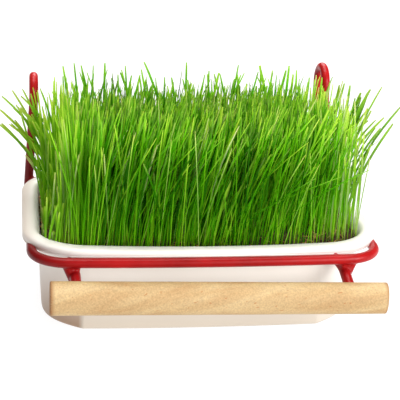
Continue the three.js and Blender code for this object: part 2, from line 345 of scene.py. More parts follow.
def makeTrayPlastic():
    # injection-moulded polypropylene: creamy white, soft satin shine, faint mould grain,
    # with painted warm shade toward the foot, at the left and on the left lip
    material, add = startMaterial("mouldedPolypropylene")
    place = add("ShaderNodeTexCoord").outputs["Object"]
    drift = add("ShaderNodeTexNoise", {"Vector": place, "Scale": 1 / tray["toneDrift"], "Detail": 3.0})
    colour = add("ShaderNodeValToRGB", {"Fac": drift}, stops=[(0.3, "#E2DCD5"), (0.7, "#E9E4DD")])
    # painted warm shade: darker toward the foot, at the far left and on the left lip
    spot = add("ShaderNodeSeparateXYZ", [place])
    start, full = tray["paintedShadeHeight"]
    low = add("ShaderNodeMapRange", {"Value": spot.outputs[2], "From Min": start, "From Max": full})
    start, full = tray["paintedShadeLeft"]
    far = add("ShaderNodeMapRange", {"Value": spot.outputs[0], "From Min": start, "From Max": full})
    lowShadeStrength = add("ShaderNodeMath", [far, 0.2, 0.8], operation="MULTIPLY_ADD")
    lowShade = add("ShaderNodeMath", [low, lowShadeStrength], operation="MULTIPLY", use_clamp=True)
    start, full = tray["paintedShadeBrim"]
    brimShade = add("ShaderNodeMapRange", {"Value": spot.outputs[0], "From Min": start, "From Max": full})
    wearAndShade = add("ShaderNodeMath", [brimShade, 0.4, lowShade], operation="MULTIPLY_ADD", use_clamp=True)
    warmShade = add("ShaderNodeMix", {0: far, 6: toLinear("#BCAC98"), 7: toLinear("#A2846A")}, data_type="RGBA")
    shadedPlastic = add("ShaderNodeMix", {0: wearAndShade, 6: colour, 7: warmShade}, data_type="RGBA")
    grain = add("ShaderNodeTexNoise", {"Vector": place, "Scale": 1 / tray["mouldGrain"], "Detail": 2.0})
    scuff = add("ShaderNodeTexNoise", {"Vector": place, "Scale": 1 / tray["scuffSize"], "Detail": 4.0})
    rough = add("ShaderNodeMapRange", {"Value": scuff, "To Min": 0.3, "To Max": 0.48})
    bump = add("ShaderNodeBump", {"Height": grain, "Strength": 0.08, "Distance": 0.00005})
    surface = add("ShaderNodeBsdfPrincipled", {
        "Base Color": shadedPlastic, "Roughness": rough, "IOR": 1.49, "Normal": bump,
    })
    add("ShaderNodeOutputMaterial", {"Surface": surface})
    return material


def makeTray():
    # rings from the middle of the base, up the outside, over the lip and down the inside,
    # as how far in from the outline and how high, or how far below the lip's crown
    drop, wall, floor = tray["lipDrop"], tray["wall"], tray["floor"]
    foot = [(30, 0), (3, 0), (1.2, 0), (0.3, 0.35)]
    rings = [[Vector((0, 0, 0))]] + [outlinePoints(insetShape(tray["wallFoot"], by), z) for by, z in foot]
    rings += [wallRing(t) for t in (0.03, 0.1, 0.3, 0.5, 0.7, 0.9, 0.99)]
    rings.append(outlinePoints(insetShape(tray["wallTop"], -0.6), underLip))
    rings += [lipRing(1.6, drop - 1.2), lipRing(1.1, drop - 1.1)]
    edge = [(1.0, 0.1), (0.8, 0), (0.1, 0), (0, 0.15), (0, 0.5), (0.3, 0.62), (0.3, 0.75), (0, 0.9)]
    rings += [skirtRing(by, drop - rise) for by, rise in edge]
    crown = [(0, 1.9), (0.25, 1.2), (0.9, 0.6), (2.0, 0.2), (3.6, 0), (5.2, 0.02), (6.3, 0.4), (7.2, 1.3)]
    rings += [lipRing(by, below) for by, below in crown]
    rings.append(outlinePoints(insetShape(tray["wallTop"], wall - 0.1), tray["height"] - drop))
    rings += [wallRing(t, wall) for t in (0.9, 0.75, 0.5, 0.25)]
    inside = [(wall + 0.3, floor + 0.6), (wall + 1.5, floor), (30, floor)]
    rings += [outlinePoints(insetShape(tray["wallFoot"], by), z) for by, z in inside]
    rings.append([Vector((0, 0, floor)) * mm])
    piece = newPiece("moulded_tray", loftMesh("moulded_tray", rings))
    piece.data.materials.append(makeTrayPlastic())
    smoother = piece.modifiers.new("smoother", "SUBSURF")
    smoother.levels = smoother.render_levels = 1
    applyModifiers(piece)
    finishPiece(piece, ["tray"])


makeTray()
print("tray moulded")


# soil bed

soil = {
    "level": 43.0,  # millimetres, at the walls
    "crown": 1.4,
    "inset": 1.9,  # tray wall and clearance
    "lumpHeight": 0.9,
    "lumpScale": 0.16,  # lumps per millimetre
    # inputs of the scatter tree; crumbs and husks are counted on each square metre
    "sizes": {
        "Crumbs": 0.09e6, "Crumb Min": 0.5 * mm, "Crumb Max": 1.5 * mm,
        "Husks": 0.035e6, "Husk Min": 3.0 * mm, "Husk Max": 6.5 * mm, "Husk Width": 0.9 * mm,
    },
    "grainSize": 2.4 * mm,  # a crumb of peat
    "huskPatch": 3.8 * mm,  # tone along a husk
    "lift": 0.3,  # over the tray's floor
    "wallRings": (0.045, 0.3, 0.6, 0.85),  # rings below the surface, as parts of the wall's height
    "rings": 26,  # from the wall to the middle
    "seed": 7,
}


def makeEarth():
    # peat and sieved loam: near-black brown crumbs with dull light fibres
    material, add = startMaterial("peatAndLoam")
    place = add("ShaderNodeTexCoord").outputs["Object"]
    lumps = add("ShaderNodeTexNoise", {
        "Vector": place, "Scale": 1 / soil["grainSize"], "Detail": 6.0, "Roughness": 0.7,
    })
    colour = add("ShaderNodeValToRGB", {"Fac": lumps}, stops=[
        (0.3, "#24170C"), (0.52, "#4A321D"), (0.75, "#7C5A36"),
    ])
    bump = add("ShaderNodeBump", {"Height": lumps, "Strength": 0.6, "Distance": 0.0006})
    surface = add("ShaderNodeBsdfPrincipled", {"Base Color": colour, "Roughness": 0.95, "Normal": bump})
    add("ShaderNodeOutputMaterial", {"Surface": surface})
    return material


def makeHusk():
    # empty seed husk: papery straw colour with darker ends
    material, add = startMaterial("seedHusk")
    place = add("ShaderNodeTexCoord").outputs["Object"]
    patches = add("ShaderNodeTexNoise", {"Vector": place, "Scale": 1 / soil["huskPatch"], "Detail": 3.0})
    colour = add("ShaderNodeValToRGB", {"Fac": patches}, stops=[
        (0.3, "#6E4A22"), (0.5, "#A9793F"), (0.72, "#D2AE6E"),
    ])
    surface = add("ShaderNodeBsdfPrincipled", {"Base Color": colour, "Roughness": 0.7})
    add("ShaderNodeOutputMaterial", {"Surface": surface})
    return material


def makeScatterTree(earth, husk):
    # crumbs of soil and empty husks on the upper face of the bed
    tree, add, given = startGroup("scatteredCrumbs", soil["sizes"])
    spot = add("GeometryNodeInputPosition")
    axes = add("ShaderNodeSeparateXYZ", [spot])
    onTop = add("ShaderNodeMath", [axes.outputs[2], (soil["level"] - 1) * mm], operation="GREATER_THAN")

    crumb = add("GeometryNodeMeshIcoSphere", {"Radius": 1.0, "Subdivisions": 1})
    crumbSpots = add("GeometryNodeDistributePointsOnFaces", {
        "Mesh": given["Geometry"], "Selection": onTop, "Density": given["Crumbs"], "Seed": given["Seed"],
    })
    crumbTurn = add("FunctionNodeRandomValue", {
        0: (0, 0, 0), 1: (6, 6, 6), "Seed": 21,
    }, data_type="FLOAT_VECTOR")
    crumbWide = add("FunctionNodeRandomValue", {2: given["Crumb Min"], 3: given["Crumb Max"], "Seed": 22})
    crumbForm = add("FunctionNodeRandomValue", {
        0: (0.6, 0.6, 0.5), 1: (1, 1, 0.8), "Seed": 23,
    }, data_type="FLOAT_VECTOR")
    crumbScale = add("ShaderNodeVectorMath", {0: crumbForm, "Scale": crumbWide}, operation="SCALE")
    crumbs = add("GeometryNodeInstanceOnPoints", {
        "Points": crumbSpots, "Instance": crumb, "Rotation": crumbTurn, "Scale": crumbScale,
    })
    crumbSolid = add("GeometryNodeRealizeInstances", {"Geometry": crumbs})
    crumbDressed = add("GeometryNodeSetMaterial", {"Geometry": crumbSolid, "Material": earth})

    seedCoat = add("GeometryNodeMeshIcoSphere", {"Radius": 0.5, "Subdivisions": 1})
    huskSpots = add("GeometryNodeDistributePointsOnFaces", {
        "Mesh": given["Geometry"], "Selection": onTop, "Density": given["Husks"], "Seed": given["Seed"],
    })
    huskTurn = add("FunctionNodeRandomValue", {
        0: (-0.3, -0.9, -3), 1: (0.3, 0.4, 3), "Seed": 31,
    }, data_type="FLOAT_VECTOR")
    huskLong = add("FunctionNodeRandomValue", {2: given["Husk Min"], 3: given["Husk Max"], "Seed": 32})
    huskFlat = add("ShaderNodeMath", [given["Husk Width"], 0.6], operation="MULTIPLY")
    huskScale = add("ShaderNodeCombineXYZ", [huskLong, given["Husk Width"], huskFlat])
    lifted = add("GeometryNodeSetPosition", {"Geometry": huskSpots, "Offset": (0, 0, 0.7 * mm)})
    husks = add("GeometryNodeInstanceOnPoints", {
        "Points": lifted, "Instance": seedCoat, "Rotation": huskTurn, "Scale": huskScale,
    })
    huskSolid = add("GeometryNodeRealizeInstances", {"Geometry": husks})
    huskDressed = add("GeometryNodeSetMaterial", {"Geometry": huskSolid, "Material": husk})
    whole = add("GeometryNodeJoinGeometry")
    for part in (given["Geometry"], crumbDressed.outputs[0], huskDressed.outputs[0]):
        tree.links.new(part, whole.inputs[0])
    add("NodeGroupOutput", {"Geometry": whole})
    return tree


def soilHeight(x, y, edge):
    # edge runs from 0 at the wall to 1 in the middle; lumps and crown fade toward the wall
    spot = Vector((x, y, soil["seed"])) * soil["lumpScale"] / mm
    lumps = noise.noise(spot) + 0.5 * noise.noise(spot * 2.3)
    crown = soil["crown"] * min(edge * 3, 1)
    return (soil["level"] + crown + soil["lumpHeight"] * lumps * min(0.4 + edge * 4, 1)) * mm


def makeSoil():
    shape = blendShapes(tray["wallFoot"], tray["wallTop"], soil["level"] / underLip)
    rings = [[Vector((0, 0, tray["floor"] + soil["lift"])) * mm]]
    rings += [wallRing(t, soil["inset"]) for t in soil["wallRings"]]
    outer = outlinePoints(insetShape(shape, soil["inset"]), soil["level"])
    for k in range(soil["rings"]):
        shrink = 1 - k / soil["rings"]
        spots = [(p.x * shrink, p.y * shrink) for p in outer]
        rings.append([Vector((x, y, soilHeight(x, y, 1 - shrink))) for x, y in spots])
    rings.append([Vector((0, 0, soilHeight(0, 0, 1)))])
    piece = newPiece("soil_bed", loftMesh("soil_bed", rings))
    earth = makeEarth()
    piece.data.materials.append(earth)
    runTree(piece, makeScatterTree(earth, makeHusk()), soil["sizes"], soil["seed"])
    print("soil laid,", len(piece.data.polygons), "faces")
    finishPiece(piece, ["soil"])


makeSoil()


# grass

grass = {
    "rows": 5,
    # inputs of the sowing tree; leans are parts of a blade's length
    "sizes": {
        "Spacing": 1.0 * mm,  # closest that two blades are sown
        "Shortest": 42.0 * mm,
        "Tallest": 65.0 * mm,
        "Extra Tall": 8.0 * mm,  # what the tallest few at the back have besides
        "Back Drop": 0.115,  # front blades are longer and back ones shorter by this part
        "Blade Width": 0.92 * mm,
        "Blade Thickness": 0.22 * mm,
        "Fold": 0.5,  # how deep the V of a blade's section is
        "Half Length": 155.0 * mm / 2,  # of the sown area
        "Half Width": 108.0 * mm / 2,
        "Splay": 0.42,  # outward lean of the few loose blades at the two ends
        "Fan Across": 0.14,
        "Right Lean": 0.12,  # in the middle; none at the two ends
        "Clump Lean": 0.36,
        "Loose Lean": 0.14,
        "Stray Lean": 0.52,
    },
    "cornerRound": 21.0 * mm,
    "clumpSize": 26.3 * mm,
    "streakLength": 2.0 * mm,  # veins, drawn coarser than the real ones so that they show
    "dryEnds": (72 * mm, 84 * mm),  # blades that hang this far out are a little drier
    "soilReach": (79 * mm, 58 * mm),  # half sizes over which the mound of soil falls off
    "rootDepth": 1.0,
    "segments": 6,  # along a sown blade
    "looseSegments": 9,
    "tipCrowding": 1.6,  # how much closer together a blade's sections stand toward the tip
    "looseTurn": 0.9,  # radians, how far a loose blade is turned, and what it twists on its way up
    "looseTwist": 0.5,
    "looseHalf": 0.72,  # half of a loose blade's width, for a width of 1
    "seed": 11,
    "looseSeed": 70,
    # loose blades, drawn at random within ranges, in millimetres: how many, root x, root y,
    # lean of the tip, tip height, curl, width, tone
    "loose": {
        "tallLeft": (30, (-66, -6), (38, 47), (-22, 22), (100, 112), (1.4, 1.9), (0.6, 0.95), (0.35, 0.8)),
        "tallRight": (38, (-6, 76), (38, 47), (-20, 22), (101, 113), (1.4, 2.0), (0.65, 1.15), (0.35, 0.85)),
        "leftReach": (15, (-73, -62), (-6, 36), (-31, -16), (80, 102), (1.5, 2.6), (0.6, 0.95), (0.65, 0.9)),
        "leftSplay": (28, (-76, -62), (-16, 44), (-20, 2), (78, 107), (1.3, 2.6), (0.55, 0.9), (0.65, 0.95)),
        "rightReach": (13, (70, 77), (-24, 12), (6, 26), (90, 113), (1.6, 3.2), (0.9, 1.7), (0.45, 0.75)),
        "rightSplay": (26, (70, 77), (-28, 30), (-2, 18), (80, 113), (1.2, 2.6), (0.7, 1.1), (0.5, 0.85)),
        "crossing": (38, (-64, 50), (-53, -46), (-14, 36), (72, 112), (1.1, 2.2), (0.55, 1.1), (0.6, 0.9)),
        "rightCorner": (4, (65, 75), (-46, -30), (-3, 1), (82, 96), (1.4, 1.7), (0.85, 1.0), (0.7, 1.0)),
        "shortLeft": (80, (-77, -67), (-50, 30), (-3, 5), (50, 68), (1.0, 1.8), (0.6, 0.95), (0.75, 1.0)),
        "slenderLeft": (44, (-76, -63), (-48, 46), (-8, 6), (74, 108), (1.0, 2.0), (0.35, 0.7), (0.85, 1.0)),
        "slenderRight": (64, (61, 77), (-44, 46), (-6, 10), (84, 111), (1.0, 2.0), (0.4, 0.75), (0.9, 1.0)),
    },
}


def makeLeaf():
    # young wheat leaf: waxy satin skin that lets a yellow-green glow through
    material, add = startMaterial("youngWheatLeaf")
    tone = add("ShaderNodeAttribute", attribute_name="bladeTone").outputs["Fac"]
    along = add("ShaderNodeAttribute", attribute_name="alongBlade").outputs["Fac"]
    place = add("ShaderNodeTexCoord").outputs["Object"]
    fresh = add("ShaderNodeValToRGB", {"Fac": tone}, stops=[
        (0.0, "#409806"), (0.35, "#76CE10"), (0.65, "#A0E81C"), (0.92, "#D6F850"), (1.0, "#F0F6C4"),
    ])
    # along the blade: pale at the very root, painted shade through the lower and middle length, full
    # brightness at the tip
    alongShade = add("ShaderNodeValToRGB", {"Fac": along}, stops=[
        (0.0, "#F0E8C0"), (0.1, "#E4F0BE"), (0.4, "#BCDCA0"), (0.7, "#BCD4A8"), (0.9, "#F0F6EA"),
        (1.0, "#FFFFFF"),
    ])
    shaded = add("ShaderNodeMix", {0: 1.0, 6: fresh, 7: alongShade}, data_type="RGBA", blend_type="MULTIPLY")
    nearTip = add("ShaderNodeMapRange", {"Value": along, "From Min": 0.84, "To Max": 0.36})
    bleached = add("ShaderNodeMix", {0: nearTip, 6: shaded, 7: toLinear("#E8E08C")}, data_type="RGBA")
    streak = add("ShaderNodeTexNoise", {"Vector": place, "Scale": 1 / grass["streakLength"], "Detail": 2.0})
    veins = add("ShaderNodeMix", {0: 0.25, 6: bleached, 7: streak}, data_type="RGBA", blend_type="OVERLAY")
    spot = add("ShaderNodeSeparateXYZ", [place])
    sideways = add("ShaderNodeMath", [spot.outputs[0]], operation="ABSOLUTE")
    start, full = grass["dryEnds"]
    dry = add("ShaderNodeMapRange", {"Value": sideways, "From Min": start, "From Max": full, "To Max": 0.3})
    skin = add("ShaderNodeMix", {0: dry, 6: veins, 7: toLinear("#A08C64")}, data_type="RGBA")
    surface = add("ShaderNodeBsdfPrincipled", {
        "Base Color": skin, "Roughness": 0.38, "IOR": 1.4, "Specular IOR Level": 0.14,
    })
    through = add("ShaderNodeBsdfTranslucent", {"Color": skin})
    both = add("ShaderNodeMixShader", [0.65, surface, through])
    add("ShaderNodeOutputMaterial", {"Surface": both})
    return material


def makeGrassTree(material):
    # straight blades on random spots, then bent, narrowed and turned by what each one keeps
    tree, add, given = startGroup("sownBlades", grass["sizes"])
    seed = given["Seed"]

    # sow the blades, with u and v from -1 to 1 along and across the sown area:
    # fewer near the two ends and at the front right, where the soil shows
    spot = add("GeometryNodeInputPosition")
    axes = add("ShaderNodeSeparateXYZ", [spot])
    u = add("ShaderNodeMath", [axes.outputs[0], given["Half Length"]], operation="DIVIDE")
    v = add("ShaderNodeMath", [axes.outputs[1], given["Half Width"]], operation="DIVIDE")
    uSize = add("ShaderNodeMath", [u], operation="ABSOLUTE")
    thinLeft = add("ShaderNodeMapRange", {
        "Value": u, "From Min": -0.85, "From Max": -0.96, "To Min": 1.0, "To Max": 0.15,
    })
    thinRight = add("ShaderNodeMapRange", {
        "Value": u, "From Min": 0.8, "From Max": 0.92, "To Min": 1.0, "To Max": 0.11,
    })
    thin = add("ShaderNodeMath", [thinLeft, thinRight], operation="MULTIPLY")
    rightPart = add("ShaderNodeMapRange", {"Value": u, "From Min": 0.2, "From Max": 0.6})
    frontPart = add("ShaderNodeMapRange", {"Value": v, "From Min": -0.5, "From Max": -0.7})
    bare = add("ShaderNodeMath", [rightPart, frontPart], operation="MULTIPLY")
    cover = add("ShaderNodeMath", [bare, -0.76, 1.0], operation="MULTIPLY_ADD")
    thinned = add("ShaderNodeMath", [thin, cover], operation="MULTIPLY")
    packed = add("ShaderNodeMath", [given["Spacing"], -2.0], operation="POWER")
    sown = add("GeometryNodeDistributePointsOnFaces", {
        "Mesh": given["Geometry"], "Distance Min": given["Spacing"], "Density Max": packed,
        "Density Factor": thinned, "Seed": seed,
    }, distribute_method="POISSON")
    # tone: each blade's own, and pale near the two ends
    ownTone = add("FunctionNodeRandomValue", {"Seed": seed})
    endPale = add("ShaderNodeMapRange", {
        "Value": uSize, "From Min": 0.66, "From Max": 0.92, "To Min": 0.0, "To Max": 0.95,
    })
    tone = add("ShaderNodeMix", {0: endPale, 2: ownTone, 3: 1.0})
    # length: mostly long in front and short behind, with a rare extra tall one toward the back
    tall = add("FunctionNodeRandomValue", {"Seed": 101})
    tallPower = add("ShaderNodeMapRange", {
        "Value": v, "From Min": -1.0, "From Max": 0.8, "To Min": 0.6, "To Max": 2.3,
    })
    tallBias = add("ShaderNodeMath", [tall, tallPower], operation="POWER")
    common = add("ShaderNodeMapRange", {
        "Value": tallBias, "To Min": given["Shortest"], "To Max": given["Tallest"],
    })
    drop = add("ShaderNodeMath", [v, given["Back Drop"]], operation="MULTIPLY")
    keep = add("ShaderNodeMath", [1.0, drop], operation="SUBTRACT")
    usual = add("ShaderNodeMath", [common, keep], operation="MULTIPLY")
    luck = add("FunctionNodeRandomValue", {"Seed": 808})
    rareLuck = add("ShaderNodeMath", [luck, 5.0], operation="POWER")
    atBack = add("ShaderNodeMapRange", {"Value": v, "From Min": -0.4, "From Max": 0.8})
    bonus = add("ShaderNodeMath", [rareLuck, atBack], operation="MULTIPLY")
    full = add("ShaderNodeMath", [bonus, given["Extra Tall"], usual], operation="MULTIPLY_ADD")
    # blades at the end walls are younger: very short ones at the left, middling ones at the right
    atWall = add("ShaderNodeMapRange", {"Value": uSize, "From Min": 0.85, "From Max": 0.92})
    young = add("FunctionNodeRandomValue", {"Seed": 1111})
    youngPower = add("ShaderNodeMapRange", {
        "Value": u, "From Min": -1.0, "From Max": 1.0, "To Min": 14.0, "To Max": 0.6,
    })
    youngBy = add("ShaderNodeMath", [young, youngPower], operation="POWER")
    youngPart = add("ShaderNodeMath", [youngBy, 0.84, 0.16], operation="MULTIPLY_ADD")
    wallPart = add("ShaderNodeMix", {0: atWall, 2: 1.0, 3: youngPart})
    length = add("ShaderNodeMath", [full, wallPart], operation="MULTIPLY")

    # lean: fans out at the ends, drifts in clumps, and each blade has its own
    clumpNoise = add("ShaderNodeTexNoise", {"Vector": spot, "Scale": 1 / grass["clumpSize"], "Detail": 1.0})
    clump = add("ShaderNodeVectorMath", [
        clumpNoise.outputs["Color"], (0.5, 0.5, 0.5),
    ], operation="SUBTRACT")
    clumpLean = add("ShaderNodeVectorMath", {0: clump, "Scale": given["Clump Lean"]}, operation="SCALE")
    # each blade's own lean, rarely up to three times as large
    own = add("FunctionNodeRandomValue", {
        0: (-1, -1, 0), 1: (1, 1, 0), "Seed": 202,
    }, data_type="FLOAT_VECTOR")
    wild = add("FunctionNodeRandomValue", {"Seed": 303})
    wildRare = add("ShaderNodeMath", [wild, 5.0], operation="POWER")
    wildBy = add("ShaderNodeMath", [wildRare, 2.2, 1.0], operation="MULTIPLY_ADD")
    ownBy = add("ShaderNodeMath", [wildBy, given["Loose Lean"]], operation="MULTIPLY")
    ownLean = add("ShaderNodeVectorMath", {0: own, "Scale": ownBy}, operation="SCALE")
    # one in seventeen is a stray that crosses the others
    dice = add("FunctionNodeRandomValue", {"Seed": 909})
    isStray = add("ShaderNodeMath", [dice, 0.94], operation="GREATER_THAN")
    strayBy = add("ShaderNodeMath", [isStray, given["Stray Lean"]], operation="MULTIPLY")
    stray = add("FunctionNodeRandomValue", {
        0: (-0.6, -0.3, 0), 1: (1, 0.3, 0), "Seed": 404,
    }, data_type="FLOAT_VECTOR")
    strayLean = add("ShaderNodeVectorMath", {0: stray, "Scale": strayBy}, operation="SCALE")
    # at the two ends a rare one splays outward, and the rest stand straighter
    uFour = add("ShaderNodeMath", [u, 4.0], operation="POWER")
    uSide = add("ShaderNodeMath", [u], operation="SIGN")
    luckyEnd = add("FunctionNodeRandomValue", {"Seed": 1010})
    splayRare = add("ShaderNodeMath", [luckyEnd, 14.0], operation="POWER")
    offFront = add("ShaderNodeMapRange", {"Value": v, "From Min": -0.7, "From Max": -0.2})
    splayPart = add("ShaderNodeMath", [splayRare, offFront], operation="MULTIPLY")
    splayBy = add("ShaderNodeMath", [splayPart, given["Splay"]], operation="MULTIPLY")
    splaySide = add("ShaderNodeMath", [uSide, splayBy], operation="MULTIPLY")
    fanX = add("ShaderNodeMath", [uFour, splaySide], operation="MULTIPLY")
    calm = add("ShaderNodeMath", [uFour, -0.85, 1.0], operation="MULTIPLY_ADD")
    vThree = add("ShaderNodeMath", [v, 3.0], operation="POWER")
    fanY = add("ShaderNodeMath", [vThree, given["Fan Across"]], operation="MULTIPLY")
    fan = add("ShaderNodeCombineXYZ", [fanX, fanY])
    uSquare = add("ShaderNodeMath", [u, u], operation="MULTIPLY")
    middle = add("ShaderNodeMath", [1.0, uSquare], operation="SUBTRACT")
    rightBy = add("ShaderNodeMath", [middle, given["Right Lean"]], operation="MULTIPLY")
    rightward = add("ShaderNodeCombineXYZ", [rightBy])
    lean = rightward
    for part in (clumpLean, ownLean, strayLean):
        lean = add("ShaderNodeVectorMath", [lean, part], operation="ADD")
    lean = add("ShaderNodeVectorMath", {0: lean, "Scale": calm}, operation="SCALE")
    lean = add("ShaderNodeVectorMath", [lean, fan], operation="ADD")
    lean = add("ShaderNodeVectorMath", [lean, (1, 1, 0)], operation="MULTIPLY")

    # turn, curl and width, all kept on the root's point
    turn = add("FunctionNodeRandomValue", {2: -3.14, 3: 3.14, "Seed": 505})
    curlBase = add("FunctionNodeRandomValue", {2: 1.0, 3: 2.0, "Seed": 606})
    endPart = add("ShaderNodeMath", [uFour, splayPart], operation="MULTIPLY")
    curl = add("ShaderNodeMath", [curlBase, endPart], operation="ADD")
    broad = add("FunctionNodeRandomValue", {2: 0.55, 3: 1.0, "Seed": 707})
    splayWidth = add("ShaderNodeMath", [broad, endPart], operation="ADD")
    tallWidth = add("ShaderNodeMath", [bonus, 0.4, splayWidth], operation="MULTIPLY_ADD")
    width = add("ShaderNodeMath", [tallWidth, given["Blade Width"]], operation="MULTIPLY")
    kinds = dict.fromkeys(("rootSpot", "bladeLean", "sectionPlace"), "FLOAT_VECTOR")  # others are FLOAT
    kept = sown
    for name, value in (
        ("rootSpot", spot), ("bladeTone", tone), ("bladeLength", length), ("bladeLean", lean),
        ("bladeTurn", turn), ("bladeCurl", curl), ("bladeWidth", width),
    ):
        kept = add("GeometryNodeStoreNamedAttribute", {
            "Geometry": kept, "Name": name, "Value": value,
        }, data_type=kinds.get(name, "FLOAT"), domain="POINT")

    # one straight blade of four sides, shaped after it is placed
    stem = add("GeometryNodeMeshCylinder", {
        "Vertices": 4, "Side Segments": grass["segments"], "Radius": 1.0, "Depth": 1.0,
    })
    stemAxes = add("ShaderNodeSeparateXYZ", [spot])
    toTip = add("ShaderNodeMath", [0.5, stemAxes.outputs[2]], operation="SUBTRACT", use_clamp=True)
    toTipBy = add("ShaderNodeMath", [toTip, grass["tipCrowding"]], operation="POWER")
    alongStem = add("ShaderNodeMath", [1.0, toTipBy], operation="SUBTRACT")
    shaped = stem
    for name, value in (("alongBlade", alongStem), ("sectionPlace", spot)):
        shaped = add("GeometryNodeStoreNamedAttribute", {
            "Geometry": shaped, "Name": name, "Value": value,
        }, data_type=kinds.get(name, "FLOAT"), domain="POINT")
    placed = add("GeometryNodeInstanceOnPoints", {"Points": kept, "Instance": shaped})
    solid = add("GeometryNodeRealizeInstances", {"Geometry": placed})

    # read back what each blade keeps
    read = {}
    for name in (
        "rootSpot", "bladeLength", "bladeLean", "bladeTurn", "bladeCurl", "bladeWidth", "alongBlade",
        "sectionPlace",
    ):
        kind = kinds.get(name, "FLOAT")
        read[name] = add("GeometryNodeInputNamedAttribute", {"Name": name}, data_type=kind)
    along = read["alongBlade"]

    # the line the blade follows, and its direction
    reach = add("ShaderNodeMath", [along, read["bladeCurl"]], operation="POWER")
    reachBy = add("ShaderNodeMath", [reach, read["bladeLength"]], operation="MULTIPLY")
    leaning = read["bladeLean"]
    sideways = add("ShaderNodeVectorMath", {0: leaning, "Scale": reachBy}, operation="SCALE")
    leanSquare = add("ShaderNodeVectorMath", [leaning, leaning], operation="DOT_PRODUCT")
    leanRest = add("ShaderNodeMath", [1.0, leanSquare], operation="SUBTRACT", use_clamp=True)
    leanSafe = add("ShaderNodeMath", [leanRest, 0.2], operation="MAXIMUM")
    steep = add("ShaderNodeMath", [leanSafe], operation="SQRT")
    upwards = add("ShaderNodeMath", [steep, read["bladeLength"]], operation="MULTIPLY")
    height = add("ShaderNodeMath", [upwards, along], operation="MULTIPLY")
    upVector = add("ShaderNodeCombineXYZ", {2: height})
    grown = add("ShaderNodeVectorMath", [sideways, upVector], operation="ADD")
    centre = add("ShaderNodeVectorMath", [grown, read["rootSpot"]], operation="ADD")
    slope = add("ShaderNodeMath", [reach, read["bladeCurl"]], operation="MULTIPLY")
    slopeLean = add("ShaderNodeVectorMath", {0: leaning, "Scale": slope}, operation="SCALE")
    slopeUp = add("ShaderNodeCombineXYZ", {2: steep})
    heading = add("ShaderNodeVectorMath", [slopeLean, slopeUp], operation="ADD")

    # the section: a shallow V that narrows to the tip
    taper = add("ShaderNodeFloatCurve", {"Value": along})
    line = taper.mapping.curves[0]
    for place, value in ((0.25, 0.6), (0.48, 0.85), (0.8, 1.0), (0.943, 0.85)):
        line.points.new(place, value)
    line.points[0].location = (0, 0.42)
    line.points[-1].location = (1, 0.42)
    taper.mapping.update()
    part = add("ShaderNodeSeparateXYZ", [read["sectionPlace"]])
    fullWidth = add("ShaderNodeMath", [read["bladeWidth"], taper], operation="MULTIPLY")
    halfWidth = add("ShaderNodeMath", [fullWidth, 0.5], operation="MULTIPLY")
    acrossBy = add("ShaderNodeMath", [part.outputs[0], halfWidth], operation="MULTIPLY")
    sideBy = add("ShaderNodeMath", [acrossBy], operation="ABSOLUTE")
    thick = add("ShaderNodeMath", [given["Blade Thickness"], taper], operation="MULTIPLY")
    thickBy = add("ShaderNodeMath", [part.outputs[1], thick], operation="MULTIPLY")
    foldBy = add("ShaderNodeMath", [sideBy, given["Fold"], thickBy], operation="MULTIPLY_ADD")
    section = add("ShaderNodeCombineXYZ", [acrossBy, foldBy])
    twist = add("ShaderNodeMath", [along, 0.9, read["bladeTurn"]], operation="MULTIPLY_ADD")
    turned = add("ShaderNodeCombineXYZ", {2: twist})
    spin = add("FunctionNodeEulerToRotation", [turned])
    aligned = add("FunctionNodeAlignRotationToVector", {"Rotation": spin, "Vector": heading}, axis="Z")
    offset = add("FunctionNodeRotateVector", {"Vector": section, "Rotation": aligned})
    final = add("ShaderNodeVectorMath", [centre, offset], operation="ADD")
    bent = add("GeometryNodeSetPosition", {"Geometry": solid, "Position": final})
    smooth = add("GeometryNodeSetShadeSmooth", {"Geometry": bent, "Shade Smooth": False})
    dressed = add("GeometryNodeSetMaterial", {"Geometry": smooth, "Material": material})
    add("NodeGroupOutput", {"Geometry": dressed})
    return tree


def sowingPatch(row):
    # the soil of one row: a strip of the sown rectangle with its round corners cut off
    halfX, halfY = grass["sizes"]["Half Length"], grass["sizes"]["Half Width"]
    reachX, reachY = grass["soilReach"]
    r = grass["cornerRound"]
    build = bmesh.new()
    stepsX, stepsY = 60, 8
    low = -halfY + 2 * halfY * row / grass["rows"]
    high = low + 2 * halfY / grass["rows"]

    def limit(y):
        inside = max(abs(y) - (halfY - r), 0)
        return halfX - r + math.sqrt(max(r * r - inside * inside, 0))

    grid = []
    for j in range(stepsY + 1):
        y = low + (high - low) * j / stepsY
        reach = limit(y)
        line = []
        for i in range(stepsX + 1):
            x = -reach + 2 * reach * i / stepsX
            edge = 1 - max(abs(x) / reachX, abs(y) / reachY)
            line.append(build.verts.new((x, y, soilHeight(x, y, edge) - grass["rootDepth"] * mm)))
        grid.append(line)
    for a, b in zip(grid, grid[1:]):
        for i in range(stepsX):
            build.faces.new((a[i], a[i + 1], b[i + 1], b[i]))
    mesh = bpy.data.meshes.new("sowingPatch")
    build.to_mesh(mesh)
    build.free()
    return mesh


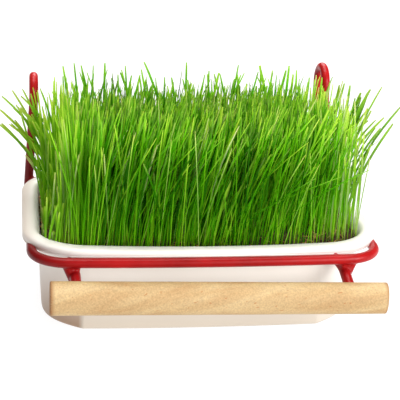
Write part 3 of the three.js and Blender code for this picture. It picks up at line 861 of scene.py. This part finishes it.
def addBlade(build, blade, layers, slot):
    # one blade as a folded strip of four sides, with what the leaf material reads
    rootX, y, tipX, tipZ, curl, width, tone = blade
    rootZ = soil["level"] - grass["rootDepth"]
    turn = grass["looseTurn"] * noise.noise(Vector((rootX, y, tipX)))
    rows = []
    for k in range(grass["looseSegments"] + 1):
        t = 1 - (1 - k / grass["looseSegments"]) ** grass["tipCrowding"]
        reach = t ** curl
        centre = Vector((rootX + (tipX - rootX) * reach, y, rootZ + (tipZ - rootZ) * t))
        slope = (tipX - rootX) * curl * max(t, 0.05) ** (curl - 1) / (tipZ - rootZ)
        heading = Vector((slope, 0, 1)).normalized()
        angle = turn + grass["looseTwist"] * t
        side = Vector((heading.z, 0, -heading.x)) * math.cos(angle) + Vector((0, 1, 0)) * math.sin(angle)
        out = heading.cross(side)
        taper = min(0.4 + t, 1) * min(0.6 + (1 - t) * 8, 1)  # narrower at the root and at the tip
        half = width * grass["looseHalf"] * taper
        thick = grass["sizes"]["Blade Thickness"] / mm * taper
        dip = out * half * grass["sizes"]["Fold"]
        section = [side * half - dip, out * thick, -side * half - dip, -out * thick]
        row = [build.verts.new((centre + s) * mm) for s in section]
        for vert in row:
            vert[layers[0]] = tone
            vert[layers[1]] = t
        rows.append(row)
    faces = [build.faces.new(list(reversed(rows[0]))), build.faces.new(rows[-1])]
    for a, b in zip(rows, rows[1:]):
        faces += joinRings(build, a, b)
    for made in faces:
        made.material_index = slot
    bmesh.ops.recalc_face_normals(build, faces=faces)


def looseBlades():
    # each group is spread evenly along its stretch of the tray
    blades = []
    for order, group in enumerate(grass["loose"].values()):
        draw = random.Random(grass["looseSeed"] + order)
        count, root, depth, reach, tip, curl, width, tone = group
        for k in range(count):
            x = root[0] + (root[1] - root[0]) * (k + draw.random()) / count
            blade = (x, draw.uniform(*depth), x + draw.triangular(*reach), draw.uniform(*tip))
            blades.append(blade + (draw.uniform(*curl), draw.uniform(*width), draw.uniform(*tone)))
    return blades


def addLooseBlades(piece, row):
    # the loose blades whose roots stand in this row, and how many they are
    halfY = grass["sizes"]["Half Width"] / mm
    depth = 2 * halfY / grass["rows"]
    build = bmesh.new()
    build.from_mesh(piece.data)
    layers = [build.verts.layers.float[name] for name in ("bladeTone", "alongBlade")]
    build.faces.ensure_lookup_table()
    slot = build.faces[0].material_index
    blades = [blade for blade in looseBlades() if int((blade[1] + halfY) / depth) == row]
    for blade in blades:
        addBlade(build, blade, layers, slot)
    build.to_mesh(piece.data)
    build.free()
    return len(blades)


def makeGrass():
    tree = makeGrassTree(makeLeaf())
    sown = loose = 0
    for row in range(grass["rows"]):
        piece = newPiece(f"grass_row_{row + 1}", sowingPatch(row))
        runTree(piece, tree, grass["sizes"], grass["seed"] + row)
        sown += len(piece.data.polygons) // (4 * grass["segments"] + 2)
        loose += addLooseBlades(piece, row)
        tufts = [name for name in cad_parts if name.startswith(f"grass_tuft_{row + 1}_")]
        finishPiece(piece, tufts)
    print("grass grown,", sown, "blades sown and", loose, "loose ones added")


makeGrass()


# wire holder

ringLow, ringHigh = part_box("ring_wire")
perchLow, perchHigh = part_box("perch")
holder = {
    "wireRadius": 2.27,  # with its coating
    "ringShape": {
        "halfLength": 82.4, "halfWidth": 64.6, "cornerX": 17.0, "cornerY": 17.0, "bow": 1.5, "cut": 0,
    },
    "ringHeight": (ringLow.z + ringHigh.z) / 2 / mm + 0.2,
    "hookTurn": 34.0,  # degrees round the ring's rear corner
    "hookSpan": 17.8,
    "hookDrop": 34.0,
    "hookEnd": 2.0,  # the domed end, which the path leaves out
    "hookSteps": (5, 16, 3),  # stations up the welded leg, round the bend and down the free leg
    "hooks": [(-1, 3.2, 101.1), (1, 2.0, 108.1)],  # side, lean inwards, top
    "armDrop": 5.2,
    "armSet": 0.6,  # how much further back an arm's bend lies than its top
    "armBend": 5.0,
    "armSwell": 1.06,  # arms are a little thicker than the ring
    # side, x at the top, below the ring and in the perch, rise of the top end over the ring
    "arms": [(-1, -65.3, -62.9, -62.3, -1.4), (1, 59.9, 64.7, 65.2, -0.2)],
    "sections": 16,
    "hookFoot": 3.2,  # how far a hook's welded leg reaches below the ring
    "perchFall": 0.0185,  # the perch's drop toward the right, for each millimetre
    "lapBite": 0.3,  # how far joined wires sink into each other
    # weld at a hook's foot: in from its axis by x and y, below and above the ring, its two radii
    "weld": (1.5, 1.2, 1.5, 1.8, 2.5, 1.9),
    # fillets on an arm: start and end sideways of its axis, drop, radius at the lower end
    "fillets": [(4.4, 0.9, 8.5, 2.2), (2.4, 0.4, 6.5, 2.3), (-1.5, 0.0, 5.5, 2.1)],
    "filletStart": (1.7, 1.2, 1.9),  # behind and below the ring's axis, radius there
    "filletSlant": 0.4,
    "filletBeads": 9,
    "voxel": 0.45,
    "meltSteps": 6,
    "meltLoss": 0.2,  # what the melting takes off the radius
    "tintDrift": 18 * mm,
    "sagSize": 4.5 * mm,
    # where the painted shade on the dip starts and where it is full: to the left, and low
    "dipShadeLeft": (-48 * mm, -82 * mm),
    "dipShadeLow": (90 * mm, 50 * mm),
}


def makeDip():
    # PVC plastisol dip over steel wire: deep red, rubbery satin with soft sags,
    # with painted shade darkening it toward the left corner and low down
    material, add = startMaterial("dippedPlastisol")
    place = add("ShaderNodeTexCoord").outputs["Object"]
    tint = add("ShaderNodeTexNoise", {"Vector": place, "Scale": 1 / holder["tintDrift"], "Detail": 3.0})
    colour = add("ShaderNodeValToRGB", {"Fac": tint}, stops=[(0.3, "#8A0E0F"), (0.7, "#AC1517")])
    # painted shade: darker toward the left corner and low down
    spot = add("ShaderNodeSeparateXYZ", [place])
    start, full = holder["dipShadeLeft"]
    leftward = add("ShaderNodeMapRange", {"Value": spot.outputs[0], "From Min": start, "From Max": full})
    start, full = holder["dipShadeLow"]
    below = add("ShaderNodeMapRange", {"Value": spot.outputs[2], "From Min": start, "From Max": full})
    # the painted shade's mask: the left part times the low part
    thick = add("ShaderNodeMath", [leftward, below], operation="MULTIPLY")
    shadeAmount = add("ShaderNodeMath", [thick, 0.75], operation="MULTIPLY")
    shadedDip = add("ShaderNodeMix", {0: shadeAmount, 6: colour, 7: toLinear("#560608")}, data_type="RGBA")
    sag = add("ShaderNodeTexNoise", {"Vector": place, "Scale": 1 / holder["sagSize"], "Detail": 2.0})
    rough = add("ShaderNodeMapRange", {"Value": sag, "To Min": 0.26, "To Max": 0.4})
    bump = add("ShaderNodeBump", {"Height": sag, "Strength": 0.25, "Distance": 0.0003})
    surface = add("ShaderNodeBsdfPrincipled", {
        "Base Color": shadedDip, "Roughness": rough, "Specular IOR Level": 0.17, "Normal": bump,
    })
    add("ShaderNodeOutputMaterial", {"Surface": surface})
    return material


def roundCorners(points, radius, steps=6):
    # a polyline with its inner corners drawn as short curves
    path = [points[0]]
    for before, corner, after in zip(points, points[1:], points[2:]):
        into, out = (corner - before).normalized(), (after - corner).normalized()
        back = radius * math.tan(into.angle(out) / 2)
        start, end = corner - into * back, corner + out * back
        for k in range(steps + 1):
            t = k / steps
            path.append(start * (1 - t) ** 2 + corner * 2 * t * (1 - t) + end * t * t)
    path.append(points[-1])
    return path


def addTube(build, path, radius, closed=False):
    # sweeps a round section along the path, with domed ends when it is open
    count = holder["sections"]
    stations = [(p, radius) for p in path]
    if not closed:
        first, last = (path[0] - path[1]).normalized(), (path[-1] - path[-2]).normalized()
        dome = [(math.sin(a), math.cos(a)) for a in (0.5, 1.0, 1.4)]
        stations = [(path[0] + first * radius * s, radius * c) for s, c in reversed(dome)] + stations
        stations += [(path[-1] + last * radius * s, radius * c) for s, c in dome]
    size = len(stations)
    side = None
    rows = []
    for i, (centre, r) in enumerate(stations):
        before = stations[(i - 1) % size][0] if closed or i else centre
        after = stations[(i + 1) % size][0] if closed or i + 1 < size else centre
        forward = (after - before).normalized()
        side = forward.orthogonal() if side is None else side - forward * side.dot(forward)
        side.normalize()
        other = forward.cross(side)
        turns = [2 * math.pi * k / count for k in range(count)]
        ring = [centre + (side * math.cos(a) + other * math.sin(a)) * r for a in turns]
        rows.append([build.verts.new(p) for p in ring])
    pairs = list(zip(rows, rows[1:]))
    if closed:
        # the last ring meets the first where their sides line up best
        shift = min(range(count), key=lambda k: (rows[-1][k].co - rows[0][0].co).length)
        pairs.append((rows[-1][shift:] + rows[-1][:shift], rows[0]))
    for a, b in pairs:
        joinRings(build, a, b)
    if not closed:
        build.faces.new(list(reversed(rows[0])))
        build.faces.new(rows[-1])


def addDrip(build, start, end, startRadius, endRadius, steps=7):
    # a row of beads of coating that melt into one fillet
    for k in range(steps):
        t = k / (steps - 1)
        spot = start.lerp(end, t)
        radius = startRadius + (endRadius - startRadius) * t
        bmesh.ops.create_icosphere(build, subdivisions=2, radius=radius, matrix=Matrix.Translation(spot))


def makeHolder():
    build = bmesh.new()
    r = (holder["wireRadius"] + holder["meltLoss"]) * mm
    shape = holder["ringShape"]
    z = holder["ringHeight"]
    addTube(build, outlinePoints(shape, z), r, closed=True)
    lap = 2 * holder["wireRadius"] - holder["lapBite"]
    legSteps, bendSteps, freeSteps = holder["hookSteps"]
    inX, inY, below, above, lowWide, highWide = holder["weld"]
    for side, lean, top in holder["hooks"]:
        turn = math.radians(holder["hookTurn"])
        footX = shape["halfLength"] - shape["cornerX"] + (shape["cornerX"] + lap) * math.cos(turn)
        legY = shape["halfWidth"] - shape["cornerY"] + (shape["cornerY"] + lap) * math.sin(turn)
        bend = holder["hookSpan"] / 2
        bendHeight = top - holder["wireRadius"] - bend
        foot = holder["hookFoot"]
        path = [Vector((side * footX, legY, z - foot)) * mm]
        for k in range(1, legSteps + 1):
            t = k / legSteps
            height = z - foot + (bendHeight - z + foot) * t
            path.append(Vector((side * (footX - lean * t), legY, height)) * mm)
        topX = side * (footX - lean)
        for k in range(1, bendSteps + 1):
            a = math.pi * k / bendSteps
            y = legY + bend - bend * math.cos(a)
            path.append(Vector((topX, y, bendHeight + bend * math.sin(a))) * mm)
        drop = top - holder["hookDrop"] + holder["hookEnd"] - bendHeight
        for k in range(1, freeSteps + 1):
            path.append(Vector((topX, legY + 2 * bend, bendHeight + drop * (k / freeSteps))) * mm)
        addTube(build, path, r)
        join = Vector((side * (footX - inX), legY - inY, z)) * mm
        low, high = join - Vector((0, 0, below * mm)), join + Vector((0, 0, above * mm))
        addDrip(build, low, high, lowWide * mm, highWide * mm)
    perchMid = (perchLow + perchHigh) / 2
    for side, topX, x, footX, rise in holder["arms"]:
        offMiddle = x / (shape["halfLength"] - shape["cornerX"])
        ringY = -(shape["halfWidth"] + shape["bow"] * max(1 - offMiddle ** 2, 0))
        back = ringY + lap
        corners = [
            Vector((topX, back, z + rise)) * mm,
            Vector((x, back + holder["armSet"], z - holder["armDrop"])) * mm,
            Vector((footX, perchMid.y / mm, perchMid.z / mm - x * holder["perchFall"])) * mm,
        ]
        addTube(build, roundCorners(corners, holder["armBend"] * mm), r * holder["armSwell"])
        behind, under, thin = holder["filletStart"]
        for outer, inner, low, wide in holder["fillets"]:
            start = Vector((x + side * outer, ringY + behind, z - under)) * mm
            end = Vector((x + side * inner, back - low * holder["filletSlant"], z - low)) * mm
            addDrip(build, start, end, thin * mm, wide * mm, holder["filletBeads"])
    piece = newPiece("wire_holder", meshFrom(build, "wire_holder"))
    melt = piece.modifiers.new("melt", "REMESH")
    melt.mode = "VOXEL"
    melt.voxel_size = holder["voxel"] * mm
    melt.use_smooth_shade = True
    ease = piece.modifiers.new("ease", "SMOOTH")
    ease.factor = 0.5
    ease.iterations = holder["meltSteps"]
    applyModifiers(piece)
    piece.data.materials.clear()
    piece.data.materials.append(makeDip())
    print("wire holder dipped,", len(piece.data.polygons), "faces")
    wires = ["ring_wire", "hook_wire_left", "hook_wire_right", "perch_arm_left", "perch_arm_right"]
    finishPiece(piece, wires)


makeHolder()


# wooden perch

perch = {
    "length": 156.0,
    "radius": 7.5,
    "taper": 0.03,
    "tilt": 1.06,  # degrees, right end lower
    "edgeRound": 0.8,
    "edgeSteps": 6,
    "askew": 0.14,  # how far off square the right end is sawn
    "askewRun": 6.0,  # from how far before the end
    "around": 72,
    "stations": 60,
    "wobble": 0.06,  # unevenness of the sanded surface
    "wobbleScale": (0.03, 1.3),  # along, for each millimetre, and round
    "wornEnd": (2.4 * mm, 0.6 * mm),  # where the darker sawn edge starts and where it is full
    "figureLength": 62 * mm,
    "figureWidth": 7.7 * mm,
    "mottleSize": 0.8 * mm,  # pores, drawn coarser than the real ones so that they show
    "fleckLength": 2.4 * mm,
    "fleckWidth": 1.0 * mm,
    "seed": 3,
}


def makeBeech():
    # sanded beech dowel: pale tan, short dark flecks along the grain, slow tonal figure
    material, add = startMaterial("sandedBeech")
    place = add("ShaderNodeTexCoord").outputs["Object"]
    centre = (perchLow + perchHigh) / 2
    laid = add("ShaderNodeMapping", {
        "Vector": place, "Location": tuple(-centre), "Rotation": (0.35, 0.3, 0.06),
    })
    grainPlace = add("ShaderNodeMapping", {
        "Vector": laid,
        "Scale": (1 / perch["figureLength"], 1 / perch["figureWidth"], 1 / perch["figureWidth"]),
    })
    figure = add("ShaderNodeTexNoise", {
        "Vector": grainPlace, "Scale": 1.0, "Detail": 3.0, "Distortion": 0.6,
    })
    colour = add("ShaderNodeValToRGB", {"Fac": figure}, stops=[
        (0.3, "#AC895D"), (0.5, "#B6986C"), (0.7, "#C0A57A"),
    ])
    mottle = add("ShaderNodeTexNoise", {"Vector": laid, "Scale": 1 / perch["mottleSize"], "Detail": 4.0})
    mottled = add("ShaderNodeMix", {0: 0.42, 6: colour, 7: mottle}, data_type="RGBA", blend_type="OVERLAY")
    fleckPlace = add("ShaderNodeMapping", {
        "Vector": laid,
        "Scale": (1 / perch["fleckLength"], 1 / perch["fleckWidth"], 1 / perch["fleckWidth"]),
    })
    flecks = add("ShaderNodeTexNoise", {"Vector": fleckPlace, "Scale": 1.0, "Detail": 1.0})
    fleckMask = add("ShaderNodeMapRange", {"Value": flecks, "From Min": 0.7, "From Max": 0.76})
    flecked = add("ShaderNodeMix", {0: fleckMask, 6: mottled, 7: toLinear("#A8764A")}, data_type="RGBA")
    lengthwise = add("ShaderNodeSeparateXYZ", [place])
    offMiddle = add("ShaderNodeMath", [lengthwise.outputs[0], centre.x], operation="SUBTRACT")
    fromMiddle = add("ShaderNodeMath", [offMiddle], operation="ABSOLUTE")
    half = perch["length"] / 2 * mm
    start, full = perch["wornEnd"]
    nearEnd = add("ShaderNodeMapRange", {
        "Value": fromMiddle, "From Min": half - start, "From Max": half - full, "To Max": 1.5,
    })
    wearAndShade = add("ShaderNodeMath", [nearEnd, mottle], operation="MULTIPLY", use_clamp=True)
    sawnEdge = add("ShaderNodeMix", {0: wearAndShade, 6: flecked, 7: toLinear("#8A5A30")}, data_type="RGBA")
    bump = add("ShaderNodeBump", {"Height": figure, "Strength": 0.15, "Distance": 0.0002})
    surface = add("ShaderNodeBsdfPrincipled", {
        "Base Color": sawnEdge, "Roughness": 0.62, "IOR": 1.47, "Specular IOR Level": 0.3, "Normal": bump,
    })
    add("ShaderNodeOutputMaterial", {"Surface": surface})
    return material


def makePerch():
    half = perch["length"] / 2
    edge, steps, stations = perch["edgeRound"], perch["edgeSteps"], perch["stations"]
    shaft = perch["length"] - 2 * edge
    # place along the dowel, part of its radius, and how much the rounded edge takes off
    across = [0.2 + 0.16 * k for k in range(5)]
    bend = [math.pi / 2 * k / steps for k in range(steps + 1)]
    profile = [(-half, part, 0) for part in across]
    profile += [(-half + edge * (1 - math.cos(a)), 1, edge * (1 - math.sin(a))) for a in bend]
    profile += [(-half + edge + shaft * k / stations, 1, 0) for k in range(1, stations)]
    profile += [(half - edge * (1 - math.sin(a)), 1, edge * (1 - math.cos(a))) for a in bend]
    profile += [(half, part, 0) for part in reversed(across)]
    along, wobbleRound = perch["wobbleScale"]
    run = perch["askewRun"]
    tilt = math.radians(perch["tilt"])
    middle = (perchLow + perchHigh) / 2
    turn = Matrix.Translation(middle) @ Matrix.Rotation(tilt, 4, "Y")
    rings = []
    for x, part, cut in profile:
        ring = []
        for k in range(perch["around"]):
            a = 2 * math.pi * k / perch["around"]
            spot = Vector((x * along, math.cos(a), math.sin(a) + perch["seed"]))
            radius = perch["radius"] * (1 - perch["taper"] * x / half)
            radius += perch["wobble"] * noise.noise(spot * wobbleRound)
            radius = (radius - cut) * part if part < 1 else radius - cut
            sawn = x + perch["askew"] * radius * math.cos(a) * max(0, (x - half + run) / run)
            ring.append(turn @ (Vector((sawn, radius * math.cos(a), radius * math.sin(a))) * mm))
        rings.append(ring)
    rings.insert(0, [turn @ (Vector((-half, 0, 0)) * mm)])
    rings.append([turn @ (Vector((half, 0, 0)) * mm)])
    piece = newPiece("wood_perch", loftMesh("wood_perch", rings))
    piece.data.materials.append(makeBeech())
    finishPiece(piece, ["perch"])


makePerch()
print("perch turned")
